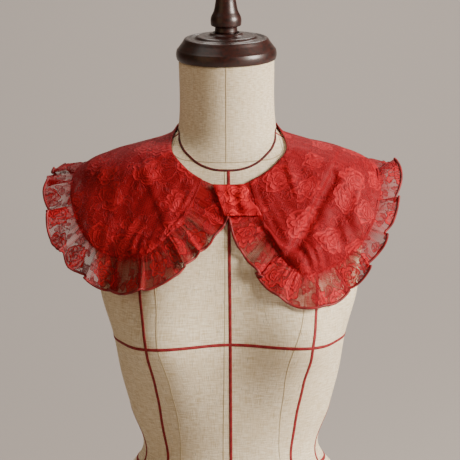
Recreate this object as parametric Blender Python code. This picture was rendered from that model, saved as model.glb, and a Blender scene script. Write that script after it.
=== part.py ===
"""A detachable lace collar lying on a limbless table-top dress form.

The form faces -Y and stands on its flat base at the origin. Shapes are worked out in millimetres
and written to the meshes in metres. An azimuth is an angle round the centre line, in degrees:
0 is the front, 90 the wearer's side and 180 the back. Side +1 is +X and side -1 is -X.
"""

import math

import bmesh
import bpy
import numpy as np

for old in list(bpy.data.objects):
    bpy.data.objects.remove(old, do_unlink=True)

MM = 0.001
DOWN = np.array([0.0, 0.0, -1.0])

# Form: ovals from the base up to the nape, with a bust that stands out of them
TORSO_COLUMNS = ("height", "side", "front", "back", "squareness", "bust")
TORSO_SECTIONS = (
    (0, 158, 100, 118, 2.3, 0),
    (60, 161, 104, 123, 2.3, 0),
    (110, 153, 100, 114, 2.3, 0),
    (145, 136, 93, 99, 2.3, 0),
    (185, 107, 84, 84, 2.3, 0),
    (238, 120, 88, 89, 2.4, 3),
    (280, 131, 96, 95, 2.4, 14),
    (330, 140, 105, 101, 2.5, 30),
    (375, 153, 101, 107, 2.5, 19),
    (430, 160, 89, 112, 2.5, 5),
    (470, 169, 76, 110, 2.5, 0),
    (500, 175, 66, 103, 2.4, 0),
    (516, 174, 62, 98, 2.3, 0),
    (527, 168, 60, 93, 2.2, 0),
    (536, 155, 57, 88, 2.0, 0),
    (547, 127, 55, 79, 1.8, 0),
    (556, 92, 52, 73, 1.7, 0),
    (564, 66, 48, 68, 1.7, 0),
    (575, 34, 36, 61, 1.8, 0),
    (590, 12, 20, 40, 2.0, 0),
    (660, 8, 10, 10, 2.0, 0),
)
BUST_AZIMUTH = 38.0
BUST_SPREAD = 19.0
NECK_COLUMNS = ("height", "radius")
NECK_SECTIONS = (
    (500, 42),
    (516, 58),
    (530, 60.5),
    (550, 60),
    (570, 58.5),
    (585, 57),
    (660, 56.5),
)
NECK_LEAN = 6.5
NECK_FOOT = 569.0
NECK_TOP = 655.0
NECK_FILLET = 18.0
TORSO_SIDES = 48
TORSO_BANDS = ((0, 185, 6), (185, 500, 11), (500, 600, 16), (600, NECK_TOP, 2))

# Neck cap and finial: turned outlines, radius and height above the seat
CAP_PROFILE = (
    (0, 0),
    (57, 0),
    (59, 3),
    (59, 12),
    (56.5, 15.5),
    (51, 20),
    (50, 24),
    (45, 26),
    (38, 25.2),
    (34, 28.5),
    (24, 29),
    (18, 32),
    (0, 32),
)
CAP_SIDES = 32
FINIAL_PROFILE = (
    (0, 0),
    (13.2, 0),
    (13.2, 6),
    (15.5, 8),
    (18.3, 13),
    (17.8, 18),
    (14.9, 24),
    (12.6, 34),
    (11.8, 41),
    (13.6, 48),
    (13.2, 56),
    (9, 62.5),
    (4, 65),
    (0, 65.5),
)
FINIAL_SIDES = 20
SEAT_GAP = 0.3

# Collar cloth
CLOTH_GAP = 1.95
PANEL_WALL = 2.0
RUFFLE_WALL = 1.0
RUFFLE_RAISE = 0.5
SEAM_GAP = 0.7
BACK_GAP = 0.5
STEP = 4.0
BEND = math.radians(1.5)

# Panel: one row for each section from the neck edge out to the ruffle seam. Fall is the steepest
# slope the lace takes where nothing is under it, and puff is how far it swells inside the seam.
PANEL_COLUMNS = ("azimuth", "height", "heading", "fall", "length", "puff")
PANEL_FRONT_LEFT = (
    (26, 518, 60, 85, 50, 0.0),
    (29, 520, 62, 85, 79, 0.5),
    (33, 523, 65, 85, 99, 1.0),
    (38, 527, 69, 85, 114, 1.5),
    (44, 534, 74, 80, 124, 2.0),
    (50, 541, 78, 72, 140, 2.0),
    (56, 548, 80, 60, 151, 2.0),
    (62, 554, 81, 47, 151, 2.0),
    (70, 561, 83, 33, 144, 1.5),
    (80, 567, 86, 22, 138, 1.0),
    (90, 571, 91, 17, 131, 1.0),
)
PANEL_FRONT_RIGHT = (
    (22, 515, 44, 85, 58, 0.0),
    (26, 517.5, 47, 85, 106, 2.0),
    (31, 520.5, 52, 85, 129, 4.0),
    (36, 524, 59, 85, 132, 5.0),
    (42, 529, 67, 82, 134, 5.0),
    (48, 536, 74, 75, 141, 4.5),
    (54, 543, 79, 64, 144, 4.0),
    (60, 549, 81, 51, 142, 3.0),
    (68, 557, 83, 36, 135, 2.0),
    (78, 564, 86, 24, 129, 1.0),
    (90, 570, 91, 17, 125, 1.0),
)
PANEL_BACK = (
    (105, 577, 96, 20, 122, 1.5),
    (120, 580, 102, 34, 117, 2.0),
    (140, 583, 121, 57, 112, 2.0),
    (160, 585, 152, 75, 108, 1.5),
    (180, 586, 180, 80, 106, 1.0),
)
PANEL_TURN = 62.0
PANEL_FRONT_COLUMNS = 16
PANEL_BACK_COLUMNS = 14
PANEL_ROWS = 14
PUFF_FROM = 0.72
SMOOTHING = 5

# Pressed creases of the panel, seen from the front: where each one starts and ends, how high it
# stands and how far it spreads
CREASE_COLUMNS = ("start_x", "start_z", "end_x", "end_z", "rise", "spread")
CREASES = (
    (124, 519, 76, 440, 3.2, 8.0),
    (70, 530, 84, 496, 1.8, 7.0),
    (-96, 528, -72, 470, 1.6, 8.0),
    (-128, 505, -142, 452, 1.6, 8.0),
)

# Ruffle: its finished width at places along the seam, from the front neck corner to the back, and
# how many degrees it flares up from the panel's slope
RUFFLE_COLUMNS = ("along", "width", "flare")
RUFFLE_LEFT = (
    (0, 23, 0),
    (25, 33, 0),
    (50, 38, 0),
    (90, 43, 0),
    (130, 43, 0),
    (175, 38, 0),
    (210, 38, 2),
    (245, 34, 8),
    (280, 34, 14),
    (320, 34, 14),
    (370, 38, 6),
    (430, 43, 0),
    (640, 44, 0),
)
RUFFLE_RIGHT = (
    (0, 21, 0),
    (20, 30, 0),
    (45, 35, 0),
    (90, 38, 0),
    (150, 39, 0),
    (190, 35, 0),
    (225, 24, 6),
    (260, 22, 20),
    (290, 25, 30),
    (325, 29, 26),
    (370, 35, 8),
    (430, 41, 0),
    (640, 44, 0),
)
# Gathers: how much of the seam each front fold takes and how deep it is at the hem. The back
# folds swing round a middle size, with a swing and a turn from one fold to the next.
FOLD_COLUMNS = ("share", "depth")
FOLDS_LEFT = (
    (16, 1.0),
    (17, 1.5),
    (18, 4.0),
    (27, 8.5),
    (19, 7.0),
    (30, 10.0),
    (24, 8.0),
    (33, 10.5),
    (22, 8.0),
    (29, 10.0),
    (25, 9.0),
    (34, 11.0),
    (24, 9.0),
)
FOLDS_RIGHT = (
    (16, 1.0),
    (17, 1.5),
    (18, 2.5),
    (24, 8.0),
    (31, 10.0),
    (22, 7.5),
    (28, 9.5),
    (20, 8.0),
    (32, 11.0),
    (24, 9.5),
    (21, 8.0),
    (30, 11.0),
    (23, 9.0),
    (26, 9.5),
)
BACK_FOLD_SHARE = {"middle": 26.0, "swing": 4.0, "turn": 2.4}
BACK_FOLD_DEPTH = {"middle": 8.5, "swing": 1.8, "turn": 1.7}
FOLD_STEPS = 6
RUFFLE_ROWS = 3
SEAM_GATHER = 0.16
FLUTE_EASE = 0.9
RUFFLE_DROOP = 6.0
SEAM_BLEND = 12.0

# Front tab: a short doubled strip that closes the fronts, at these heights
TAB_GAP = 5.5
TAB_WALL = 2.0
TAB_COLUMNS = ("height", "left", "right", "pinch")
TAB_SECTIONS = (
    (472, -3, 34, 0.2),
    (482, -7, 29, 0.8),
    (492, -11, 23.5, 1.4),
    (502, -13.5, 23, 0.9),
    (511, -16, 18.5, 0.3),
)
TAB_WAVES = 1.5
TAB_WAVE_START = 0.6
TAB_ACROSS = 8
TAB_ROWS = 6

# Colours and the angle that stays sharp between faces
LACE_DARK = (0.30, 0.012, 0.016)
LACE_BRIGHT = (0.45, 0.02, 0.025)
LINEN = (0.60, 0.50, 0.37)
MAHOGANY = (0.035, 0.012, 0.008)
SHARP_ANGLE = 40.0


def table_curve(rows, columns, spacing=1.0):
    """Fills a table in at even spacing of its first column, on a cubic through its rows."""
    rows = np.array(rows, float)
    keys = rows[:, 0]
    slopes = np.gradient(rows, keys, axis=0)
    fine = np.arange(keys[0], keys[-1] + spacing, spacing).clip(keys[0], keys[-1])
    cell = np.searchsorted(keys, fine, side="right").clip(1, len(keys) - 1) - 1
    width = (keys[cell + 1] - keys[cell])[:, None]
    t = (fine - keys[cell])[:, None] / width
    filled = (
        (2 * t**3 - 3 * t**2 + 1) * rows[cell]
        + (t**3 - 2 * t**2 + t) * width * slopes[cell]
        + (3 * t**2 - 2 * t**3) * rows[cell + 1]
        + (t**3 - t**2) * width * slopes[cell + 1]
    )
    return {name: filled[:, index] for index, name in enumerate(columns)}


TORSO = table_curve(TORSO_SECTIONS, TORSO_COLUMNS)
NECK = table_curve(NECK_SECTIONS, NECK_COLUMNS)


def read(table, key, name, value):
    """Reads one column of a filled table."""
    return float(np.interp(value, table[key], table[name]))


def smooth_larger(a, b, reach):
    """The larger of two lengths, with a fillet where they cross."""
    overlap = max(reach - abs(a - b), 0.0) / reach
    return max(a, b) + overlap * overlap * reach / 4


def neck_offset(height):
    """How far forward the leaning neck's centre lies at a height."""
    return (height - NECK_FOOT) * math.tan(math.radians(NECK_LEAN))


def form_radius(azimuth, height):
    """Distance from the centre line to the form's skin."""
    forward = math.cos(azimuth)
    sideways = math.sin(azimuth)
    side = read(TORSO, "height", "side", height)
    depth = read(TORSO, "height", "front" if forward > 0 else "back", height)
    power = read(TORSO, "height", "squareness", height)
    oval = (abs(sideways / side) ** power + abs(forward / depth) ** power) ** (-1 / power)
    turn = abs(math.degrees(math.atan2(sideways, forward))) - BUST_AZIMUTH
    oval += read(TORSO, "height", "bust", height) * math.exp(-((turn / BUST_SPREAD) ** 2))
    if height < NECK_SECTIONS[0][0]:
        return oval
    radius = read(NECK, "height", "radius", height)
    offset = neck_offset(height)
    neck = offset * forward + math.sqrt(radius**2 - (offset * sideways) ** 2)
    return smooth_larger(oval, neck, NECK_FILLET)


def form_gap(point):
    """How far a point lies outside the form's skin, measured level."""
    x, y, z = point
    return math.hypot(x, y) - form_radius(math.atan2(x, -y), z)


def form_normal(point):
    """The outward direction of the form's skin near a point, and how fast the gap grows on it."""
    probe = 0.5
    here = form_gap(point)
    slope = np.array([form_gap(point + probe * axis) - here for axis in np.eye(3)]) / probe
    steepness = float(np.linalg.norm(slope))
    return slope / steepness, steepness


def unit(vector):
    """A vector of the same direction and length 1."""
    return vector / np.linalg.norm(vector)


def clear_of_form(point, gap, sideways=None):
    """Moves a point off the skin until it has the gap, in the upright plane across a level
    direction where one is given, or else straight off."""
    for _ in range(4):
        normal, steepness = form_normal(point)
        if sideways is not None:
            normal = normal - sideways * float(normal @ sideways)
        short = gap - form_gap(point) / steepness
        if short <= 0.01:
            break
        point = point + normal * short / float(normal @ normal)
    return point


def lay_cloth(start, direction, length, fall, sideways=None):
    """Lays one line of cloth on the form. It runs on, bends over what is under it, and bends
    down of itself only up to its fall in degrees. Across a sideways direction it stays upright."""
    steps = max(1, math.ceil(length / STEP))
    stride = length / steps
    steepest = math.sin(math.radians(fall))
    point = start
    points = [start]
    for _ in range(steps):
        if -direction[2] < steepest:
            direction = unit(direction + DOWN * BEND * stride)
        landing = clear_of_form(point + direction * stride, CLOTH_GAP, sideways)
        direction = unit(landing - point)
        point = point + direction * stride
        points.append(point)
    return np.array(points)


def spread(path, rows):
    """Points at even spacing along a path."""
    lengths = np.linalg.norm(np.diff(path, axis=0), axis=1)
    along = np.concatenate(([0.0], np.cumsum(lengths)))
    places = np.linspace(0, along[-1], rows + 1)
    return np.stack([np.interp(places, along, path[:, axis]) for axis in range(3)], axis=1)


def neck_edge(azimuth, height, side):
    """A point on the collar's neck edge."""
    angle = math.radians(azimuth)
    radius = form_radius(angle, height)
    point = np.array([side * radius * math.sin(angle), -radius * math.cos(angle), height])
    return clear_of_form(point, CLOTH_GAP)


def downhill(point, heading, side):
    """The direction down the form's skin in the upright plane of a heading."""
    turn = math.radians(heading)
    out = np.array([side * math.sin(turn), -math.cos(turn), 0.0])
    normal, _ = form_normal(point)
    return unit(out * normal[2] + DOWN * float(out @ normal))


def grid_normals(grid):
    """Unit normals of a grid of points, which face away from the form."""
    along = np.gradient(grid, axis=0)
    out = np.gradient(grid, axis=1)
    normals = np.cross(along, out)
    normals /= np.linalg.norm(normals, axis=2, keepdims=True)
    centre = grid[len(grid) // 2, grid.shape[1] // 2]
    facing = normals[len(grid) // 2, grid.shape[1] // 2] @ form_normal(centre)[0]
    return normals * (1.0 if facing > 0 else -1.0)


def crease_rise(point):
    """How high the pressed creases lift the panel at a point of its front."""
    rise = 0.0
    for row in CREASES:
        crease = dict(zip(CREASE_COLUMNS, row))
        start = np.array([crease["start_x"], crease["start_z"]])
        run = np.array([crease["end_x"], crease["end_z"]]) - start
        place = np.array([point[0], point[2]]) - start
        share = float(np.clip(place @ run / (run @ run), 0, 1))
        away = float(np.linalg.norm(place - share * run)) / crease["spread"]
        rise += crease["rise"] * math.exp(-away * away)
    return rise if point[1] < 0 else 0.0


def panel_half(side):
    """The panel's under face on one side, a column of points for each section, front to back,
    and its normals before it was creased."""
    rows = (PANEL_FRONT_RIGHT if side > 0 else PANEL_FRONT_LEFT) + PANEL_BACK
    table = table_curve(rows, PANEL_COLUMNS, 0.25)
    front = np.linspace(rows[0][0], PANEL_TURN, PANEL_FRONT_COLUMNS + 1)
    back = np.linspace(PANEL_TURN, rows[-1][0], PANEL_BACK_COLUMNS + 1)
    azimuths = np.concatenate((front[:-1], back))
    grid = []
    swell = []
    for azimuth in azimuths:
        row = {name: read(table, "azimuth", name, azimuth) for name in PANEL_COLUMNS}
        start = neck_edge(azimuth, row["height"], side)
        direction = downhill(start, row["heading"], side)
        sideways = unit(np.cross(direction, DOWN))
        path = lay_cloth(start, direction, row["length"], row["fall"], sideways)
        grid.append(spread(path, PANEL_ROWS))
        swell.append(row["puff"])
    grid = np.array(grid)
    for _ in range(SMOOTHING):
        grid[1:-1] = (grid[:-2] + 2 * grid[1:-1] + grid[2:]) / 4
        grid = np.apply_along_axis(clear_of_form, 2, grid, CLOTH_GAP)
    normals = grid_normals(grid)
    reach = np.linspace(0, 1, PANEL_ROWS + 1)
    rim = np.clip((reach - PUFF_FROM) / (1 - PUFF_FROM), 0, 1)
    for column in range(len(grid)):
        for row in range(PANEL_ROWS + 1):
            rise = swell[column] * math.sin(math.pi * rim[row])
            rise += crease_rise(grid[column, row])
            grid[column, row] += normals[column, row] * rise
    return grid, normals


def seam_line(grid):
    """The line that a ruffle is sewn to: down the panel's front edge, then round its outer edge.
    Gives the points, the direction out of the panel, and the length along the seam."""
    points = np.concatenate((grid[0, :-1], grid[:, -1]))
    leave_front = grid[0, :-1] - grid[1, :-1]
    leave_edge = grid[:, -1] - grid[:, -2]
    leave = np.concatenate((leave_front, leave_edge))
    tangents = np.gradient(points, axis=0)
    tangents /= np.linalg.norm(tangents, axis=1, keepdims=True)
    leave = leave - tangents * np.sum(leave * tangents, axis=1, keepdims=True)
    leave /= np.linalg.norm(leave, axis=1, keepdims=True)
    steps = np.linalg.norm(np.diff(points, axis=0), axis=1)
    return points, leave, np.concatenate(([0.0], np.cumsum(steps)))


def fold_edges(folds, length):
    """Where each gather starts along the seam, and its depth at the hem."""
    edges = [0.0]
    depths = []
    for row in folds:
        fold = dict(zip(FOLD_COLUMNS, row))
        edges.append(edges[-1] + fold["share"])
        depths.append(fold["depth"])
    while edges[-1] + BACK_FOLD_SHARE["middle"] < length:
        edges.append(edges[-1] + swinging(BACK_FOLD_SHARE, len(depths)))
        depths.append(swinging(BACK_FOLD_DEPTH, len(depths)))
    return np.array(edges) * length / edges[-1], depths


def swinging(size, count):
    """A size that swings round its middle from one fold to the next."""
    return size["middle"] + size["swing"] * math.sin(size["turn"] * count)


def ruffle_half(grid, side):
    """The ruffle's two faces on one side: gathered along the seam and fluted to its hem, and
    kept on its own side of the centre line."""
    points, leave, along = seam_line(grid)
    folds = FOLDS_RIGHT if side > 0 else FOLDS_LEFT
    table = table_curve(RUFFLE_RIGHT if side > 0 else RUFFLE_LEFT, RUFFLE_COLUMNS)
    length = along[-1] - BACK_GAP / 2
    edges, depths = fold_edges(folds, length)
    base = []
    flutes = []
    for fold in range(len(depths)):
        last = fold == len(depths) - 1
        for step in range(FOLD_STEPS + 1 if last else FOLD_STEPS):
            phase = step / FOLD_STEPS
            place = edges[fold] + phase * (edges[fold + 1] - edges[fold])
            base.append(ruffle_line(points, leave, along, place, table))
            flutes.append(depths[fold] * (1 - math.cos(2 * math.pi * phase)) / 2)
    base = np.array(base)
    normals = grid_normals(base)
    reach = SEAM_GATHER + (1 - SEAM_GATHER) * np.linspace(0, 1, RUFFLE_ROWS + 1) ** FLUTE_EASE
    lift = np.array(flutes)[:, None] * reach[None, :] + RUFFLE_RAISE
    inner = base + normals * lift[:, :, None]
    outer = inner + grid_normals(inner) * RUFFLE_WALL
    for grid in (inner, outer):
        grid[..., 0] = side * np.maximum(side * grid[..., 0], BACK_GAP / 2)
        grid[-1, :, 0] = side * BACK_GAP / 2
    return inner, outer


def ruffle_line(points, leave, along, place, table):
    """One line of the ruffle, from the seam to the hem."""
    start = np.array([np.interp(place, along, points[:, axis]) for axis in range(3)])
    near = np.exp(-(((along - place) / SEAM_BLEND) ** 2))
    near /= near.sum()
    direction = unit(near @ leave)
    level = unit(direction * np.array([1.0, 1.0, 0.0]))
    slope = math.degrees(math.asin(-direction[2])) - read(table, "along", "flare", place)
    direction = level * math.cos(math.radians(slope)) + DOWN * math.sin(math.radians(slope))
    width = read(table, "along", "width", place)
    first = clear_of_form(start + direction * SEAM_GAP, CLOTH_GAP)
    path = lay_cloth(first, direction, width, slope + RUFFLE_DROOP)
    return spread(path, RUFFLE_ROWS)


def make_object(name, vertices, faces, colour, roughness):
    """A closed mesh object in metres with its own material."""
    mesh = bpy.data.meshes.new(name)
    mesh.from_pydata([tuple(np.array(vertex) * MM) for vertex in vertices], [], faces)
    work = bmesh.new()
    work.from_mesh(mesh)
    bmesh.ops.recalc_face_normals(work, faces=work.faces)
    work.to_mesh(mesh)
    work.free()
    mesh.shade_smooth()
    mesh.set_sharp_from_angle(angle=math.radians(SHARP_ANGLE))
    material = bpy.data.materials.new(name)
    material.use_nodes = True
    shader = material.node_tree.nodes["Principled BSDF"]
    shader.inputs["Base Color"].default_value = (*colour, 1.0)
    shader.inputs["Roughness"].default_value = roughness
    mesh.materials.append(material)
    built = bpy.data.objects.new(name, mesh)
    bpy.context.scene.collection.objects.link(built)
    return built


def make_wall(name, inner, outer, colour, roughness):
    """A cloth wall: a grid of points, the same grid moved out, and an edge all round."""
    columns, rows = inner.shape[:2]
    vertices = np.concatenate((inner.reshape(-1, 3), outer.reshape(-1, 3)))
    count = columns * rows
    faces = []
    for column in range(columns - 1):
        for row in range(rows - 1):
            corner = column * rows + row
            quad = (corner, corner + 1, corner + rows + 1, corner + rows)
            faces.append(quad)
            faces.append(tuple(count + index for index in reversed(quad)))
    rim = [row for row in range(rows)]
    rim += [column * rows + rows - 1 for column in range(1, columns)]
    rim += [(columns - 1) * rows + row for row in range(rows - 2, -1, -1)]
    rim += [column * rows for column in range(columns - 2, 0, -1)]
    for index, here in enumerate(rim):
        after = rim[(index + 1) % len(rim)]
        faces.append((here, count + here, count + after, after))
    return make_object(name, vertices, faces, colour, roughness)


def make_torso():
    """The covered torso and neck: rings of points up the form, tipped with the neck at its top."""
    heights = [TORSO_BANDS[0][0]]
    for bottom, top, count in TORSO_BANDS:
        heights += list(np.linspace(bottom, top, count + 1)[1:])
    vertices = []
    for height in heights:
        tip = min(max((height - NECK_FOOT) / (NECK_TOP - NECK_FOOT), 0.0), 1.0)
        for turn in range(TORSO_SIDES):
            azimuth = 2 * math.pi * turn / TORSO_SIDES
            level = height
            for _ in range(3):
                radius = form_radius(azimuth, level)
                ahead = radius * math.cos(azimuth) - neck_offset(height)
                level = height - tip * ahead * math.tan(math.radians(NECK_LEAN))
            vertices.append((radius * math.sin(azimuth), -radius * math.cos(azimuth), level))
    faces = [tuple(range(TORSO_SIDES))]
    for ring in range(len(heights) - 1):
        for turn in range(TORSO_SIDES):
            here = ring * TORSO_SIDES + turn
            after = ring * TORSO_SIDES + (turn + 1) % TORSO_SIDES
            faces.append((here, after, after + TORSO_SIDES, here + TORSO_SIDES))
    top = (len(heights) - 1) * TORSO_SIDES
    faces.append(tuple(range(top, top + TORSO_SIDES)))
    return make_object("form_torso", vertices, faces, LINEN, 0.9)


def make_turned(name, profile, sides, rise):
    """A turned wooden piece, whose seat is the given height up the leaning neck."""
    vertices = [(0.0, 0.0, profile[0][1])]
    for radius, height in profile[1:-1]:
        for turn in range(sides):
            angle = 2 * math.pi * turn / sides
            vertices.append((radius * math.cos(angle), radius * math.sin(angle), height))
    vertices.append((0.0, 0.0, profile[-1][1]))
    faces = []
    rings = len(profile) - 2
    for turn in range(sides):
        after = (turn + 1) % sides
        faces.append((0, 1 + after, 1 + turn))
        for ring in range(rings - 1):
            low = 1 + ring * sides
            faces.append((low + turn, low + after, low + after + sides, low + turn + sides))
        last = 1 + (rings - 1) * sides
        faces.append((last + turn, last + after, len(vertices) - 1))
    piece = make_object(name, vertices, faces, MAHOGANY, 0.25)
    lean = math.radians(NECK_LEAN)
    foot = np.array([0.0, -neck_offset(NECK_TOP), NECK_TOP])
    axis = np.array([0.0, -math.sin(lean), math.cos(lean)])
    piece.location = tuple((foot + axis * rise) * MM)
    piece.rotation_euler = (lean, 0, 0)
    return piece


def make_tab():
    """The front tab, laid over the ruffle ends with a pinch across its middle."""
    table = table_curve(TAB_SECTIONS, TAB_COLUMNS)
    heights = np.linspace(TAB_SECTIONS[-1][0], TAB_SECTIONS[0][0], TAB_ROWS + 1)
    inner = []
    for share in np.linspace(0, 1, TAB_ACROSS + 1):
        column = []
        for height in heights:
            left = read(table, "height", "left", height)
            right = read(table, "height", "right", height)
            pinch = read(table, "height", "pinch", height)
            x = left + share * (right - left)
            wave = math.sin(2 * math.pi * TAB_WAVES * share + TAB_WAVE_START)
            lift = TAB_GAP + pinch * (1 + wave) / 2
            angle = math.asin(x / form_radius(0.0, height))
            radius = form_radius(angle, height)
            skin = np.array([x, -radius * math.cos(angle), height])
            column.append(skin + form_normal(skin)[0] * lift)
        inner.append(column)
    inner = np.array(inner)
    outer = inner + grid_normals(inner) * TAB_WALL
    return make_wall("front_tab", inner, outer, LACE_BRIGHT, 0.7)


make_torso()
make_turned("neck_cap", CAP_PROFILE, CAP_SIDES, SEAT_GAP)
make_turned("finial", FINIAL_PROFILE, FINIAL_SIDES, CAP_PROFILE[-1][1] + 2 * SEAT_GAP)
left_panel, left_normals = panel_half(-1)
right_panel, right_normals = panel_half(1)
panel_inner = np.concatenate((left_panel, right_panel[-2::-1]))
panel_outer = panel_inner + np.concatenate((left_normals, right_normals[-2::-1])) * PANEL_WALL
make_wall("collar_panel", panel_inner, panel_outer, LACE_DARK, 0.75)
make_wall("ruffle_left", *ruffle_half(left_panel, -1), LACE_BRIGHT, 0.75)
make_wall("ruffle_right", *ruffle_half(right_panel, 1), LACE_BRIGHT, 0.75)
make_tab()
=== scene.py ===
"""A detachable floral lace collar on a limbless table-top dress form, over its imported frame.

The form faces -Y and stands on its flat base at the origin. Shapes are worked out in millimetres
and written to the meshes in metres. An azimuth is an angle round the centre line, in degrees:
0 is the front, 90 a side and 180 the back. Right, or side +1, is +X, as seen from the front.
"""

import math
from functools import partial

import bpy
import numpy as np
from mathutils import Matrix, Vector


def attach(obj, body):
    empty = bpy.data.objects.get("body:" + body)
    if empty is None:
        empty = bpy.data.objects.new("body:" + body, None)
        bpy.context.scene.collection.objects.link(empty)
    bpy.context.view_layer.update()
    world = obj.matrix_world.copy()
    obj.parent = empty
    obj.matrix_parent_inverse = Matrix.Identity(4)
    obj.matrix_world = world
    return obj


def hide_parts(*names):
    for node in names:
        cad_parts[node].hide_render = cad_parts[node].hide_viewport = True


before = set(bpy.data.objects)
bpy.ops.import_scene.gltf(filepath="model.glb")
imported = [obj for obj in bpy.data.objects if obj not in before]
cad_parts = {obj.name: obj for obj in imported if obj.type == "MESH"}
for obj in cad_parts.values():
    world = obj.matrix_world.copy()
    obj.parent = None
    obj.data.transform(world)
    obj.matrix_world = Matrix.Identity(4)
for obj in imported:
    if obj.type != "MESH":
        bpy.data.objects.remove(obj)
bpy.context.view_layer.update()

# Covered torso
# A hollow moulded form under a natural linen cover, cut in panels and stretched tight. It is
# oval in section with a soft bust, and its neck leans a little forward.
MM = 0.001
TORSO_COLUMNS = ("height", "side", "front", "back", "squareness", "bust")
TORSO_SECTIONS = (
    (0, 158, 100, 118, 2.3, 0),
    (60, 161, 104, 123, 2.3, 0),
    (110, 153, 100, 114, 2.3, 0),
    (145, 136, 93, 99, 2.3, 0),
    (185, 107, 84, 84, 2.3, 0),
    (238, 120, 88, 89, 2.4, 3),
    (280, 131, 96, 95, 2.4, 14),
    (330, 140, 105, 101, 2.5, 30),
    (375, 153, 101, 107, 2.5, 19),
    (430, 160, 89, 112, 2.5, 5),
    (470, 169, 76, 110, 2.5, 0),
    (500, 175, 66, 103, 2.4, 0),
    (516, 174, 62, 98, 2.3, 0),
    (527, 168, 60, 93, 2.2, 0),
    (536, 155, 57, 88, 2.0, 0),
    (547, 127, 55, 79, 1.8, 0),
    (556, 92, 52, 73, 1.7, 0),
    (564, 66, 48, 68, 1.7, 0),
    (575, 34, 36, 61, 1.8, 0),
    (590, 12, 20, 40, 2.0, 0),
    (660, 8, 10, 10, 2.0, 0),
)
BUST_AZIMUTH = 38.0
BUST_SPREAD = 19.0
NECK_COLUMNS = ("height", "radius")
NECK_SECTIONS = (
    (500, 42), (516, 58), (530, 60.5), (550, 60), (570, 58.5), (585, 57), (660, 56.5),
)
NECK_LEAN = 6.5
NECK_FOOT = 569.0
NECK_TOP = 655.0
NECK_FILLET = 18.0
NECK_SLOPE = math.tan(math.radians(NECK_LEAN))
TORSO_SIDES = 176
TORSO_RINGS = 230
LEVELLING_ROUNDS = 3
FORM_MIDDLE = np.array([0.0, 0.0, 400.0])


def cubic(t, start, end, start_slope, end_slope):
    """Values at shares t of the way from a start to an end, on the cubic with these slopes."""
    return (
        (2 * t**3 - 3 * t**2 + 1) * start
        + (t**3 - 2 * t**2 + t) * start_slope
        + (3 * t**2 - 2 * t**3) * end
        + (t**3 - t**2) * end_slope
    )


def filled(rows, columns, spacing=1.0):
    """Fills a table in at even spacing of its first column, on a cubic through its rows."""
    rows = np.array(rows, float)
    keys = rows[:, 0]
    slopes = np.gradient(rows, keys, axis=0)
    fine = np.arange(keys[0], keys[-1] + spacing, spacing).clip(keys[0], keys[-1])
    cell = np.searchsorted(keys, fine, side="right").clip(1, len(keys) - 1) - 1
    width = (keys[cell + 1] - keys[cell])[:, None]
    t = (fine - keys[cell])[:, None] / width
    values = cubic(t, rows[cell], rows[cell + 1], width * slopes[cell], width * slopes[cell + 1])
    return {name: values[:, index] for index, name in enumerate(columns)}


def read(table, name, places):
    """Reads one column of a filled table at places along its first column."""
    key = next(iter(table))
    return np.interp(places, table[key], table[name])


torso = filled(TORSO_SECTIONS, TORSO_COLUMNS)
neck = filled(NECK_SECTIONS, NECK_COLUMNS)


def form_radius(azimuth, height):
    """Distance from the centre line to the form's skin, for azimuths in radians."""
    forward = np.cos(azimuth)
    sideways = np.sin(azimuth)
    side = read(torso, "side", height)
    depth = np.where(forward > 0, read(torso, "front", height), read(torso, "back", height))
    power = read(torso, "squareness", height)
    oval = (np.abs(sideways / side) ** power + np.abs(forward / depth) ** power) ** (-1 / power)
    turn = np.abs(np.degrees(np.arctan2(sideways, forward))) - BUST_AZIMUTH
    oval = oval + read(torso, "bust", height) * np.exp(-((turn / BUST_SPREAD) ** 2))
    offset = (height - NECK_FOOT) * NECK_SLOPE
    reach = np.maximum(read(neck, "radius", height) ** 2 - (offset * sideways) ** 2, 0.0)
    post = offset * forward + np.sqrt(reach)
    overlap = np.maximum(NECK_FILLET - np.abs(oval - post), 0.0) / NECK_FILLET
    joined = np.maximum(oval, post) + overlap**2 * NECK_FILLET / 4
    return np.where(height < NECK_SECTIONS[0][0], oval, joined)


def on_form(azimuth, height):
    """Points of the form's skin, for azimuths in degrees."""
    angle = np.radians(azimuth)
    radius = form_radius(angle, height)
    level = np.broadcast_to(height, radius.shape)
    return np.stack((radius * np.sin(angle), -radius * np.cos(angle), level), axis=-1)


def grid_faces(columns, rows, around=False):
    """Corner numbers of the faces of a grid of points, one column after another."""
    column, row = np.meshgrid(np.arange(columns - (not around)), np.arange(rows - 1), indexing="ij")
    after = (column + 1) % columns
    here, beyond = column * rows + row, after * rows + row
    return np.stack((here, beyond, beyond + 1, here + 1), axis=-1).reshape(-1, 4).tolist()


def arc_lengths(points):
    """Lengths along a run of points from its first."""
    return np.concatenate(([0.0], np.cumsum(np.linalg.norm(np.diff(points, axis=0), axis=-1))))


def new_object(name, data):
    """An object with this data, in the scene."""
    made = bpy.data.objects.new(name, data)
    bpy.context.scene.collection.objects.link(made)
    return made


def add_piece(name, points, faces, material, cut=None):
    """A smooth mesh on the root body, facing away from the form, with one material and its
    cut's coordinates in metres."""
    mesh = bpy.data.meshes.new(name)
    points = np.asarray(points).reshape(-1, 3)
    mesh.from_pydata((points * MM).tolist(), [], faces)
    a, b, c = (points[[face[corner] for face in faces]] - FORM_MIDDLE for corner in range(3))
    if (a * np.cross(b, c)).sum() < 0:
        mesh.flip_normals()
    mesh.shade_smooth()
    if cut is not None:
        layer = mesh.uv_layers.new(name="cut")
        corners = np.empty(len(mesh.loops), np.int32)
        mesh.loops.foreach_get("vertex_index", corners)
        layer.data.foreach_set("uv", (np.asarray(cut).reshape(-1, 2)[corners] * MM).ravel())
    mesh.materials.append(material)
    piece = new_object(name, mesh)
    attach(piece, "root")
    return piece


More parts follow.
